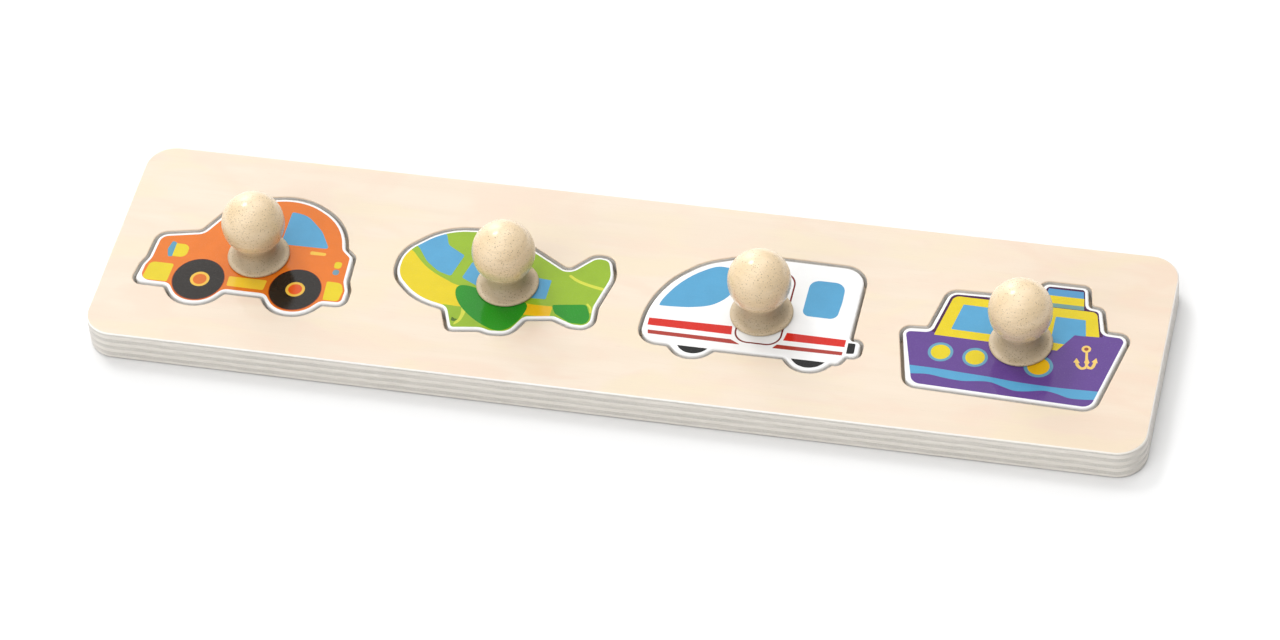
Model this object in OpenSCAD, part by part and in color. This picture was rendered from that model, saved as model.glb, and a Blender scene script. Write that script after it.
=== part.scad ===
// Wooden peg puzzle: a long board with four cutouts, and four printed
// vehicles, each lifted out by a turned knob that is screwed on from below.
// +X runs along the board, +Y away from the front edge, +Z up. The origin is
// the middle of the underside.

/* [Board] */
// Length of the board
board_l = 390; // [388:1:420]
// Width of the board
board_w = 96.5; // [90:0.5:110]
// Thickness of each of the two plywood sheets
sheet_t = 6.5; // [6:0.5:9]
// Corner radius seen from above
corner_r = 11; // [6:1:16]
// Radius worn and sanded along the long edges
arris_r = 0.8; // [0.3:0.1:1.5]

/* [Cutouts] */
// Distance from one knob to the next
pitch = 94.5; // [94:0.5:96]
// How far the row of knobs sits towards the right
row_shift = 2.25; // [0:0.25:3]
// How far the knobs sit behind the middle line (negative is towards the front)
knob_y = -1.75; // [-3:0.25:2]
// Clearance between a vehicle and its cutout, all round
gap = 1.2; // [0.6:0.1:1.5]

/* [Knob] */
// Diameter of the ball
ball_d = 23.5; // [22:0.5:25]
// Height of the ball's middle above the vehicle
ball_z = 17.4; // [16.5:0.1:19]
// Diameter of the round foot
foot_d = 23; // [20:0.5:24]
// Diameter of the neck
neck_d = 14; // [12:0.5:15]
// Radius of the hollow between the neck and the foot
cove_r = 4.6; // [4:0.1:5]
// Thickness of the foot at its rim
rim_t = 1.2; // [0.8:0.1:1.6]

/* [Screw] */
// Length of the wood screw
screw_l = 16; // [14:1:18]
// Diameter over the thread
thread_d = 3.5; // [3.2:0.1:4]
// Diameter of the countersunk head
head_d = 6.8; // [6:0.1:7.5]

/* [Hidden] */
$fn = 64;
eps = 0.01;
top_z = 2 * sheet_t;          // the face of the board and of the vehicles
core_d = thread_d - 1.1;      // screw core under the thread
shank_d = thread_d - 0.5;     // plain part of the screw
bore_d = thread_d + 0.3;      // clearance hole through a vehicle
pilot_d = core_d + 0.3;       // hole in the knob that the thread bites into
head_h = (head_d - shank_d) / 2;
head_gap = 0.2;               // how deep the head sits below the underside
thread_pitch = 1.4;
wood = [0.96, 0.89, 0.79];
beech = [0.85, 0.76, 0.62];
steel = [0.75, 0.76, 0.78];

// Each vehicle's outline goes clockwise, seen from above, as [x, y, corner
// radius], with x from its knob and y from the board's middle line.
car = [
  [-42.8, -21.2, 3], [-41.8, -12.4, 4], [-40.3, -8.4, 4], [-39.6, 3.4, 4.5],
  [-23.9, 6.9, 4], [-14.2, 24.4, 8], [9.6, 29.5, 24], [27.6, 18.8, 24],
  [31, 6.3, 3], [34.9, 2.7, 3], [35.6, -9.5, 4], [37.3, -14, 4],
  [37.3, -21.2, 3], [29.1, -21.5, 2.5], [23.7, -28.5, 11], [11.9, -28.5, 11],
  [6.8, -21.2, 2.5], [-8.1, -21.2, 2.5], [-13.3, -28.6, 10.6], [-25.1, -28.6, 10.6],
  [-30.1, -21.2, 2.5]];
plane = [
  [-42.3, -3.2, 12], [-42.3, 8.8, 14], [-29.2, 22.1, 24], [-6.9, 24.3, 25],
  [20.7, 7.6, 4], [29.1, 17, 5], [35, 16.2, 4], [37.8, 7.5, 12],
  [34.4, -8, 8], [35.2, -18.7, 4.5], [27.5, -18.6, 6], [20.2, -15.7, 3],
  [10.2, -17.3, 2.5], [6.1, -25.6, 6], [-1.5, -26.2, 7], [-5, -25, 6],
  [-16.3, -26.7, 2.4], [-20.3, -16.6, 3.5], [-32.1, -13.8, 25]];
train = [
  [-41.6, -21.2, 7], [-41.3, -1.9, 36], [-34.3, 10.8, 30], [-25.2, 19.3, 24],
  [-8.6, 25.7, 45], [33.8, 25.1, 8], [33.8, -9.9, 1.8], [38.1, -9.9, 2.2],
  [38.1, -17.4, 2.2], [33.8, -17.4, 1.8], [31.8, -21.4, 2], [29.3, -21.5, 1.8],
  [25.1, -26.5, 8.5], [16.8, -26.4, 8.8], [12.2, -21.2, 2.5], [-13.7, -21.4, 2.5],
  [-17.9, -26.2, 8], [-25.5, -26.2, 8], [-30.1, -21.4, 2.5]];
ship = [
  [-37.2, -27.4, 5], [-43.2, -0.4, 3], [-33.3, 0.4, 2.4], [-29.2, 19.5, 4.2],
  [1.6, 20.5, 3], [3.9, 28.6, 2.5], [19.5, 28.6, 2.2], [21.2, 19.2, 2.5],
  [26, 18.7, 2.4], [28.7, 7.7, 2.4], [37.8, 7.4, 3.2], [29.9, -29.3, 5]];

function unit(v) = v / norm(v);
function left(d) = [-d[1], d[0]];
function xy(p) = [p[0], p[1]];
function turned(v, a) = [v[0] * cos(a) - v[1] * sin(a), v[0] * sin(a) + v[1] * cos(a)];

// The rounded corner at q, between p and s, moved outwards by e. A corner
// that points out gains e on its radius, and one that points in loses it.
function corner(p, q, s, r, e) =
  let (d0 = unit(q - p), d1 = unit(s - q),
       n0 = left(d0), n1 = left(d1),
       out = cross(d0, d1) < 0 ? 1 : -1,
       rr = max(0.3, r + out * e),
       th = acos(d0 * d1),
       c = q + e * (n0 + n1) / (1 + n0 * n1),
       m = c - d0 * rr * tan(th / 2) - out * n0 * rr,
       n = max(1, ceil(th / (rr > 10 ? 5 : 10))))
  [for (k = [0 : n]) m + turned(out * n0 * rr, -out * th * k / n)];

function outline(v, e) =
  let (n = len(v))
  [for (i = [0 : n - 1])
    each corner(xy(v[(i + n - 1) % n]), xy(v[i]), xy(v[(i + 1) % n]), v[i][2], e)];

// Puts a shape at the knob of vehicle k, counted from the left
module at(k) translate([row_shift + (k - 1.5) * pitch, 0, 0]) children();

// Section through a sheet, w wide, with its two top arrises rounded
module sheet_section(w) {
  translate([-w / 2, 0]) square([w, sheet_t - arris_r]);
  translate([-w / 2 + arris_r, 0]) square([w - 2 * arris_r, sheet_t]);
  for (s = [-1, 1]) translate([s * (w / 2 - arris_r), sheet_t - arris_r]) circle(arris_r);
}

// A sheet with round corners, its sanded face up
module sheet() {
  rotate([90, 0, 90]) translate([0, 0, -board_l / 2 + corner_r])
    linear_extrude(board_l - 2 * corner_r) sheet_section(board_w);
  rotate([90, 0, 0]) translate([0, 0, -board_w / 2 + corner_r])
    linear_extrude(board_w - 2 * corner_r) sheet_section(board_l);
  for (x = [-1, 1], y = [-1, 1])
    translate([x * (board_l / 2 - corner_r), y * (board_w / 2 - corner_r), 0])
      rotate_extrude() {
        square([corner_r, sheet_t - arris_r]);
        square([corner_r - arris_r, sheet_t]);
        intersection() {
          translate([corner_r - arris_r, sheet_t - arris_r]) circle(arris_r);
          square([corner_r, sheet_t]);
        }
      }
}

// Upper sheet, cut through to the shape of each vehicle
module frame_board() color(wood) difference() {
  translate([0, 0, sheet_t]) sheet();
  for (k = [0 : 3]) at(k) translate([0, 0, sheet_t - 1])
    linear_extrude(sheet_t + 2) polygon(outline([car, plane, train, ship][k], gap));
}

// Lower sheet, glued under the upper one, that closes the cutouts
module backing_board() color(wood)
  translate([0, 0, sheet_t]) mirror([0, 0, 1]) sheet();

// A vehicle sawn from the same plywood, bored and countersunk from below
module piece(v, k) at(k) difference() {
  translate([0, 0, sheet_t]) linear_extrude(sheet_t) polygon(outline(v, 0));
  translate([0, knob_y, sheet_t]) {
    translate([0, 0, -1]) cylinder(h = sheet_t + 2, d = bore_d);
    translate([0, 0, -eps]) cylinder(h = head_gap + eps, d = head_d + 0.3);
    translate([0, 0, head_gap])
      cylinder(h = (head_d + 0.3 - bore_d) / 2, d1 = head_d + 0.3, d2 = bore_d);
  }
}

// Half section of the knob's foot and neck
module foot_section() {
  ze = rim_t + cove_r;
  r = foot_d / 2 - rim_t / 2;
  difference() {
    square([r, ball_z - ball_d / 2 + 3.4]);
    translate([neck_d / 2 + cove_r, ze]) circle(cove_r);
    translate([neck_d / 2, ze]) square([r, ball_z]);
  }
  square([r, rim_t]);
  translate([r, rim_t / 2]) circle(rim_t / 2);
}

// A turned knob: ball, neck and hollowed foot, with a pilot hole below
module knob(k) color(beech) at(k) translate([0, knob_y, top_z]) difference() {
  union() {
    translate([0, 0, ball_z]) sphere(d = ball_d);
    rotate_extrude() foot_section();
  }
  translate([0, 0, -1]) cylinder(h = screw_l - sheet_t + 3, d = pilot_d);
}

// A countersunk wood screw, head down, with rings for its thread
module screw(k) color(steel) at(k)
  translate([0, knob_y, sheet_t + head_gap]) difference() {
    union() {
      cylinder(h = head_h, d1 = head_d, d2 = shank_d);
      cylinder(h = sheet_t - 0.7, d = shank_d);
      cylinder(h = screw_l - 2.4, d = core_d);
      translate([0, 0, screw_l - 2.4]) cylinder(h = 2.4, d1 = core_d, d2 = 0.4);
      rotate_extrude() for (z = [sheet_t - 0.2 : thread_pitch : screw_l - 3.2])
        polygon([[0, z - 0.5], [core_d / 2 - 0.1, z - 0.5], [thread_d / 2, z],
                 [core_d / 2 - 0.1, z + 0.3], [0, z + 0.3]]);
    }
    for (a = [0, 90]) rotate(a) translate([-1.9, -0.45, -1]) cube([3.8, 0.9, 2.5]);
  }

module car_piece() color([0.93, 0.52, 0.26]) piece(car, 0);
module car_knob() knob(0);
module car_screw() screw(0);
module plane_piece() color([0.6, 0.76, 0.26]) piece(plane, 1);
module plane_knob() knob(1);
module plane_screw() screw(1);
module train_piece() color([0.97, 0.97, 0.96]) piece(train, 2);
module train_knob() knob(2);
module train_screw() screw(2);
module ship_piece() color([0.45, 0.33, 0.63]) piece(ship, 3);
module ship_knob() knob(3);
module ship_screw() screw(3);

frame_board();
backing_board();
car_piece();
car_knob();
car_screw();
plane_piece();
plane_knob();
plane_screw();
train_piece();
train_knob();
train_screw();
ship_piece();
ship_knob();
ship_screw();
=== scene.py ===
import cmath
import math

import bmesh
import bpy
import numpy as np
from mathutils import Matrix, Vector
from mathutils.geometry import delaunay_2d_cdt


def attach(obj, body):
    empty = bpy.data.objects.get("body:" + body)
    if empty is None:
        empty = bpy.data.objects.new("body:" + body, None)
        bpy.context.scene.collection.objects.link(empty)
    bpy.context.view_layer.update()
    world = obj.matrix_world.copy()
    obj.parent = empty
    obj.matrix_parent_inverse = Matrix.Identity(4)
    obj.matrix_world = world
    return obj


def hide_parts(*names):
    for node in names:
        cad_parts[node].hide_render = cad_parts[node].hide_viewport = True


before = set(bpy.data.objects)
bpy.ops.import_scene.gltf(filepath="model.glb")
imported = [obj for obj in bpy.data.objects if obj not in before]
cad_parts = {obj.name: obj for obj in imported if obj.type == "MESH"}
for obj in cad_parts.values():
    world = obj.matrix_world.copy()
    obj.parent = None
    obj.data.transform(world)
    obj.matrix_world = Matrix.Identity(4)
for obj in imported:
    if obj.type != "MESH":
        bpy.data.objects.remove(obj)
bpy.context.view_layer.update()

# ---------------------------------------------------------------- sizes, mm
MM = 0.001
LENGTH, WIDTH, CORNER, ARRIS = 390.0, 96.5, 11.0, 0.8
SHEET, TOP = 6.5, 13.0
GAP = 1.2
KNOB_X = (-139.5, -45.0, 49.5, 144.0)
KNOB_Y = -1.75
BALL_R, BALL_Z = 11.75, TOP + 17.4
LIP = 0.4  # how far the cutout's top edge is rounded
EASE = 0.7  # how far a vehicle's top edge is rounded
WHITE = 0.95  # how far down the white ink runs over a vehicle's edge

# Outlines, clockwise from above: x from the knob, y, corner radius
CAR = [
    (-42.8, -21.2, 3), (-41.8, -12.4, 4), (-40.3, -8.4, 4), (-39.6, 3.4, 4.5),
    (-23.9, 6.9, 4), (-14.2, 24.4, 8), (9.6, 29.5, 24), (27.6, 18.8, 24),
    (31, 6.3, 3), (34.9, 2.7, 3), (35.6, -9.5, 4), (37.3, -14, 4),
    (37.3, -21.2, 3), (29.1, -21.5, 2.5), (23.7, -28.5, 11), (11.9, -28.5, 11),
    (6.8, -21.2, 2.5), (-8.1, -21.2, 2.5), (-13.3, -28.6, 10.6), (-25.1, -28.6, 10.6),
    (-30.1, -21.2, 2.5),
]  # fmt: skip
PLANE = [
    (-42.3, -3.2, 12), (-42.3, 8.8, 14), (-29.2, 22.1, 24), (-6.9, 24.3, 25),
    (20.7, 7.6, 4), (29.1, 17, 5), (35, 16.2, 4), (37.8, 7.5, 12),
    (34.4, -8, 8), (35.2, -18.7, 4.5), (27.5, -18.6, 6), (20.2, -15.7, 3),
    (10.2, -17.3, 2.5), (6.1, -25.6, 6), (-1.5, -26.2, 7), (-5, -25, 6),
    (-16.3, -26.7, 2.4), (-20.3, -16.6, 3.5), (-32.1, -13.8, 25),
]  # fmt: skip
TRAIN = [
    (-41.6, -21.2, 7), (-41.3, -1.9, 36), (-34.3, 10.8, 30), (-25.2, 19.3, 24),
    (-8.6, 25.7, 45), (33.8, 25.1, 8), (33.8, -9.9, 1.8), (38.1, -9.9, 2.2),
    (38.1, -17.4, 2.2), (33.8, -17.4, 1.8), (31.8, -21.4, 2), (29.3, -21.5, 1.8),
    (25.1, -26.5, 8.5), (16.8, -26.4, 8.8), (12.2, -21.2, 2.5), (-13.7, -21.4, 2.5),
    (-17.9, -26.2, 8), (-25.5, -26.2, 8), (-30.1, -21.4, 2.5),
]  # fmt: skip
SHIP = [
    (-37.2, -27.4, 5), (-43.2, -0.4, 3), (-33.3, 0.4, 2.4), (-29.2, 19.5, 4.2),
    (1.6, 20.5, 3), (3.9, 28.6, 2.5), (19.5, 28.6, 2.2), (21.2, 19.2, 2.5),
    (26, 18.7, 2.4), (28.7, 7.7, 2.4), (37.8, 7.4, 3.2), (29.9, -29.3, 5),
]  # fmt: skip
VEHICLES = {"car": CAR, "plane": PLANE, "train": TRAIN, "ship": SHIP}


# ---------------------------------------------------------------- flat shapes
# A point of the plan is one complex number, x + iy, in mm.
def unit(v):
    return v / abs(v)


def corner(p, q, s, r, e=0.0, step=None):
    """The arc that rounds q by r, on the line through p, q and s moved out by e."""
    d0, d1 = unit(q - p), unit(s - q)
    bend = (d0.conjugate() * d1).imag
    out = 1 if bend < 0 else -1
    rr = max(0.1, r + out * e)
    th = math.acos(max(-1.0, min(1.0, (d0.conjugate() * d1).real)))
    n0, n1 = 1j * d0, 1j * d1
    c = q + e * (n0 + n1) / (1 + (n0.conjugate() * n1).real)
    m = c - d0 * rr * math.tan(th / 2) - out * n0 * rr
    step = step or (3.0 if r > 10 else 7.5)
    k = max(2, math.ceil(math.degrees(th) / step))
    return [m + out * n0 * rr * cmath.exp(-1j * out * th * j / k) for j in range(k + 1)]


def outline(v, e=0.0):
    """Closed outline of a vehicle moved out by e: the same number of points for every e."""
    n = len(v)
    arcs = [
        corner(complex(*v[i - 1][:2]), complex(*v[i][:2]), complex(*v[(i + 1) % n][:2]), v[i][2], e)
        for i in range(n)
    ]
    # where two arcs have grown past each other, both end where they would meet
    for i in range(n):
        a, b = arcs[i - 1], arcs[i]
        along = complex(*v[i][:2]) - complex(*v[i - 1][:2])
        if ((b[0] - a[-1]).conjugate() * along).real < 0:
            a[-1] = b[0] = (a[-1] + b[0]) / 2
    return [x for a in arcs for x in a]


def board_outline(inset=0.0):
    """The board's outline, clockwise, moved in by inset."""
    out = []
    r = CORNER - inset
    for sx, sy, a0 in ((-1, -1, 270), (-1, 1, 180), (1, 1, 90), (1, -1, 0)):
        c = complex(sx * (LENGTH / 2 - CORNER), sy * (WIDTH / 2 - CORNER))
        out += [c + cmath.rect(r, math.radians(a0 - 90 * j / 20)) for j in range(21)]
    return out


def rounded(*pts, r=0.3):
    """Polygon of (x, y) or (x, y, radius) points with its corners rounded."""
    n = len(pts)
    out = []
    for i in range(n):
        p, q, s = (complex(*pts[j % n][:2]) for j in (i - 1, i, i + 1))
        want = pts[i][2] if len(pts[i]) > 2 else r
        d0, d1 = unit(q - p), unit(s - q)
        th = math.acos(max(-1.0, min(1.0, (d0.conjugate() * d1).real)))
        if th < 0.02 or want < 0.02:
            out.append(q)
            continue
        room = 0.48 * min(abs(q - p), abs(s - q)) / math.tan(th / 2)
        out += corner(p, q, s, min(want, room), 0.0, 9.0)
    return out


def circle(x, y, r, n=64):
    return [complex(x, y) + cmath.rect(r, -math.tau * i / n) for i in range(n)]


def spline(*pts, closed=True, n=6):
    """Smooth curve through the points."""
    p = [complex(*q) for q in pts]
    m = len(p)
    out = []
    for i in range(m if closed else m - 1):
        if closed:
            a, b, c, d = (p[(i + j) % m] for j in (-1, 0, 1, 2))
        else:
            a, b, c, d = (p[max(0, min(m - 1, i + j))] for j in (-1, 0, 1, 2))
        for k in range(n):
            t = k / n
            out.append(
                0.5 * (2 * b + (c - a) * t + (2 * a - 5 * b + 4 * c - d) * t * t
                       + (3 * b - a - 3 * c + d) * t**3)
            )  # fmt: skip
    if not closed:
        out.append(p[-1])
    return out


def stroke(line, w, taper=1.0):
    """Band of width w along an open line, with round ends."""
    n = len(line)
    left, right = [], []
    for i, q in enumerate(line):
        d = unit(line[min(n - 1, i + 1)] - line[max(0, i - 1)])
        h = w / 2 * (1 + (taper - 1) * i / (n - 1))
        left.append(q + 1j * d * h)
        right.append(q - 1j * d * h)
    d0, d1 = unit(line[1] - line[0]), unit(line[-1] - line[-2])
    h0, h1 = w / 2, w / 2 * taper
    cap1 = [line[-1] + 1j * d1 * h1 * cmath.exp(-1j * math.pi * k / 6) for k in range(1, 6)]
    cap0 = [line[0] - 1j * d0 * h0 * cmath.exp(-1j * math.pi * k / 6) for k in range(1, 6)]
    return left + cap1 + right[::-1] + cap0


def ring_stroke(loop, w):
    """The two loops on either side of a closed line."""
    n = len(loop)
    out, inn = [], []
    for i, q in enumerate(loop):
        d = unit(loop[(i + 1) % n] - loop[i - 1])
        out.append(q + 1j * d * w / 2)
        inn.append(q - 1j * d * w / 2)
    return out, inn


def inside(points, loop):
    """Which of an array of points are inside a closed loop."""
    x, y = points.real, points.imag
    hit = np.zeros(len(points), bool)
    n = len(loop)
    for i in range(n):
        p, q = loop[i], loop[(i + 1) % n]
        if p.imag != q.imag:
            cut = (q.real - p.real) * (y - p.imag) / (q.imag - p.imag) + p.real
            hit ^= ((p.imag > y) != (q.imag > y)) & (x < cut)
    return hit


def triangulate(loops=(), chains=()):
    """Triangles that keep every edge of the loops and chains: points, triangles, their centres."""
    verts, edges = [], []
    for loop in loops:
        first, n = len(verts), len(loop)
        verts += [Vector((p.real, p.imag)) for p in loop]
        edges += [(first + i, first + (i + 1) % n) for i in range(n)]
    for p, q in chains:
        first = len(verts)
        verts += [Vector((p.real, p.imag)), Vector((q.real, q.imag))]
        edges.append((first, first + 1))
    co, _, tris = delaunay_2d_cdt(verts, edges, [], 0, 1e-5)[:3]
    pts = [complex(v.x, v.y) for v in co]
    arr = np.array(pts)
    mid = np.array([arr[list(t)].mean() for t in tris])
    return pts, [tuple(t) for t in tris], mid


# ---------------------------------------------------------------- solid shapes
class Shell:
    """A closed surface in the making: points in mm, and faces with a material each."""

    def __init__(self, name):
        self.name = name
        self.co, self.faces, self.mats, self.soft = [], [], [], []
        self.names = []

    def slot(self, material):
        if material not in self.names:
            self.names.append(material)
        return self.names.index(material)

    def face(self, f, material, soft):
        self.faces.append(f)
        self.mats.append(self.slot(material))
        self.soft.append(soft)

    def ring(self, pts, z):
        first = len(self.co)
        self.co += [(p.real, p.imag, z) for p in pts]
        return list(range(first, len(self.co)))

    def strip(self, a, b, material, soft=True):
        n = len(a)
        for i in range(n):
            j = (i + 1) % n
            self.face((a[i], a[j], b[j], b[i]), material, soft)

    def walls(self, rings, material, soft=True):
        for a, b in zip(rings, rings[1:]):
            self.strip(a, b, material, soft)

    def flat(self, pts, tris, z, materials, keep=None):
        """A level face from triangles; materials is one name, or one for each triangle."""
        first = len(self.co)
        self.co += [(p.real, p.imag, z) for p in pts]
        for i, t in enumerate(tris):
            if keep is None or keep[i]:
                m = materials if isinstance(materials, str) else materials[i]
                self.face(tuple(first + j for j in t), m, False)

    def build(self, body, slot, *nodes, shift=0.0):
        me = bpy.data.meshes.new(self.name)
        bm = bmesh.new()
        vs = [bm.verts.new(((x + shift) * MM, y * MM, z * MM)) for x, y, z in self.co]
        for f, m, s in zip(self.faces, self.mats, self.soft):
            if len(set(f)) == len(f):
                new = bm.faces.new([vs[i] for i in f])
                new.material_index = m
                new.smooth = s
        bmesh.ops.remove_doubles(bm, verts=bm.verts, dist=3e-6)
        bmesh.ops.delete(bm, geom=[v for v in bm.verts if not v.link_faces], context="VERTS")
        bmesh.ops.recalc_face_normals(bm, faces=bm.faces)
        open_edges = sum(1 for e in bm.edges if len(e.link_faces) != 2)
        print(f"{self.name}: {len(bm.verts)} points, {len(bm.faces)} faces, {open_edges} open edges")
        bm.to_mesh(me)
        bm.free()
        ob = bpy.data.objects.new(self.name, me)
        bpy.context.scene.collection.objects.link(ob)
        for n in self.names:
            me.materials.append(MATERIAL[n])
        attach(ob, body)
        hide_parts(*nodes)
        return ob


def lathe(shell, profile, material, n=96, y=KNOB_Y):
    """Turns a profile of (radius, z) points; an end at radius 0 closes to a point."""
    last = None
    for r, z in profile:
        if r <= 1e-6:
            now = [len(shell.co)] * n
            shell.co.append((0.0, y, z))
        else:
            now = shell.ring(circle(0, y, r, n), z)
        if last is not None:
            for i in range(n):
                j = (i + 1) % n
                f = [last[i], last[j], now[j], now[i]]
                g = []
                for v in f:
                    if v not in g:
                        g.append(v)
                if len(g) > 2:
                    shell.face(tuple(g), material, True)
        last = now


# ---------------------------------------------------------------- materials
MATERIAL = {}


def lin(c):
    c = c / 255
    return c / 12.92 if c <= 0.04045 else ((c + 0.055) / 1.055) ** 2.4


def seen(r, g, b, light=1.2, gloss=0.046):
    """Surface colour of something that shows as this sRGB colour in the studio's light."""
    return tuple(max(0.004, min(0.93, (lin(c) - gloss) / light)) for c in (r, g, b))


class Paint:
    """A material's node tree, with short names for the nodes used here."""

    def __init__(self, name, roughness=0.4, ior=1.5):
        m = bpy.data.materials.new(name)
        m.use_nodes = True
        self.tree = m.node_tree
        self.links = self.tree.links
        self.tree.nodes.clear()
        self.out = self.node("ShaderNodeOutputMaterial")
        self.bsdf = self.node("ShaderNodeBsdfPrincipled")
        self.links.new(self.bsdf.outputs["BSDF"], self.out.inputs["Surface"])
        self.bsdf.inputs["Roughness"].default_value = roughness
        self.bsdf.inputs["IOR"].default_value = ior
        self.coords = self.node("ShaderNodeTexCoord")
        self.place = self.coords.outputs["Object"]
        MATERIAL[name] = m

    def node(self, kind, **props):
        n = self.tree.nodes.new(kind)
        for k, v in props.items():
            setattr(n, k, v)
        return n

    def put(self, socket, value):
        if isinstance(value, bpy.types.NodeSocket):
            self.links.new(value, socket)
        elif isinstance(value, tuple) and len(value) == 3 and socket.type == "RGBA":
            socket.default_value = (*value, 1.0)
        else:
            socket.default_value = value

    def scaled(self, scale, offset=(0.0, 0.0, 0.0), turn=(0.0, 0.0, 0.0), vector=None):
        n = self.node("ShaderNodeMapping")
        self.put(n.inputs["Vector"], vector or self.place)
        n.inputs["Location"].default_value = offset
        n.inputs["Rotation"].default_value = turn
        n.inputs["Scale"].default_value = scale
        return n.outputs["Vector"]

    def noise(self, scale, detail=3.0, rough=0.5, warp=0.0, offset=(0.0, 0.0, 0.0), vector=None):
        n = self.node("ShaderNodeTexNoise")
        self.put(n.inputs["Vector"], self.scaled(scale, offset, vector=vector))
        n.inputs["Scale"].default_value = 1.0
        n.inputs["Detail"].default_value = detail
        n.inputs["Roughness"].default_value = rough
        n.inputs["Distortion"].default_value = warp
        return n.outputs["Fac"]

    def cells(self, scale, offset=(0.0, 0.0, 0.0), feature="F1", randomness=1.0):
        n = self.node("ShaderNodeTexVoronoi", feature=feature)
        self.put(n.inputs["Vector"], self.scaled(scale, offset))
        n.inputs["Scale"].default_value = 1.0
        n.inputs["Randomness"].default_value = randomness
        return n.outputs["Distance"]

    def span(self, value, a, b, lo=0.0, hi=1.0, smooth=True):
        n = self.node("ShaderNodeMapRange")
        n.interpolation_type = "SMOOTHSTEP" if smooth else "LINEAR"
        n.clamp = True
        self.put(n.inputs["Value"], value)
        for k, v in (("From Min", a), ("From Max", b), ("To Min", lo), ("To Max", hi)):
            n.inputs[k].default_value = v
        return n.outputs["Result"]

    def math(self, op, a, b=0.0, c=0.0):
        n = self.node("ShaderNodeMath", operation=op)
        for s, v in zip(n.inputs, (a, b, c)):
            self.put(s, v)
        return n.outputs[0]

    def mix(self, fac, a, b, blend="MIX"):
        n = self.node("ShaderNodeMix", data_type="RGBA", blend_type=blend)
        self.put(n.inputs["Factor"], fac)
        self.put(n.inputs["A"] if "A" in n.inputs and n.inputs["A"].type == "RGBA" else n.inputs[6], a)
        self.put(n.inputs["B"] if "B" in n.inputs and n.inputs["B"].type == "RGBA" else n.inputs[7], b)
        return n.outputs[2]

    def bump(self, height, distance, strength=1.0, normal=None):
        n = self.node("ShaderNodeBump")
        n.inputs["Strength"].default_value = strength
        n.inputs["Distance"].default_value = distance
        self.put(n.inputs["Height"], height)
        if normal is not None:
            self.links.new(normal, n.inputs["Normal"])
        return n.outputs["Normal"]

    def finish(self, colour, roughness=None, normal=None):
        self.put(self.bsdf.inputs["Base Color"], colour)
        if roughness is not None:
            self.put(self.bsdf.inputs["Roughness"], roughness)
        if normal is not None:
            self.links.new(normal, self.bsdf.inputs["Normal"])


def shade(c, k):
    return tuple(max(0.003, min(0.95, x * k)) for x in c)


def tint(c, r, g, b):
    return (c[0] * r, c[1] * g, c[2] * b)


def veneer(name, base, varnish, strong=1.0):
    """Pale birch face veneer with its grain along X, under varnish or bare."""
    p = Paint(name, 0.11 if varnish else 0.5)
    broad = p.noise((9, 120, 120), 2.0, 0.5, 0.4)
    rosy = p.noise((30, 75, 75), 2.5, 0.5, 0.8, offset=(3.1, 7.7, 0))
    creamy = p.noise((22, 60, 60), 2.5, 0.5, 0.8, offset=(8.3, 2.9, 0))
    fine = p.noise((70, 2600, 2600), 4.0, 0.62, 0.3, offset=(1.3, 0.4, 0))
    flecks = p.noise((330, 5200, 5200), 2.0, 0.5, 0.0, offset=(9.0, 2.0, 0))
    light = shade(base, 1.0 + 0.016 * strong)
    dark = tint(shade(base, 1.0 - 0.02 * strong), 1.0, 0.99, 0.972)
    c = p.mix(p.span(broad, 0.32, 0.7), light, dark)
    c = p.mix(p.span(rosy, 0.42, 0.66, 0.0, 0.95 * strong), c, tint(base, 1.0, 0.95, 0.935))
    c = p.mix(p.span(creamy, 0.44, 0.66, 0.0, 0.85 * strong), c, tint(base, 1.0, 1.005, 0.925))
    c = p.mix(p.span(fine, 0.46, 0.78, 0.0, 0.36 * strong), c, tint(shade(base, 0.94), 1.0, 0.975, 0.93))
    c = p.mix(p.span(flecks, 0.66, 0.8, 0.0, 0.4 * strong), c, tint(shade(base, 0.82), 1.0, 0.95, 0.88))
    # the colour is made a little darker towards the board's right end (+X)
    axes = p.node("ShaderNodeSeparateXYZ")
    p.links.new(p.place, axes.inputs[0])
    c = p.mix(p.span(axes.outputs["X"], 0.08, 0.2), c, (0.975, 0.95, 0.93), "MULTIPLY")
    rough = p.span(broad, 0.3, 0.7, 0.085, 0.13) if varnish else p.span(fine, 0.35, 0.7, 0.42, 0.56)
    wave = p.noise((60, 90, 90), 2.0, 0.4)
    n = p.bump(fine, 0.00003 if varnish else 0.00008, 0.5)
    n = p.bump(wave, 0.00003, 0.6, n)
    p.finish(c, rough, n)


# Ply boundaries, from the underside up, as heights in mm. The first layer's
# grain runs along X, the next one's along Y, and so on.
PLIES = (0.0, 1.75, 3.4, 5.0, 6.65, 8.35, 10.1, 11.7, 12.9)


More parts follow.
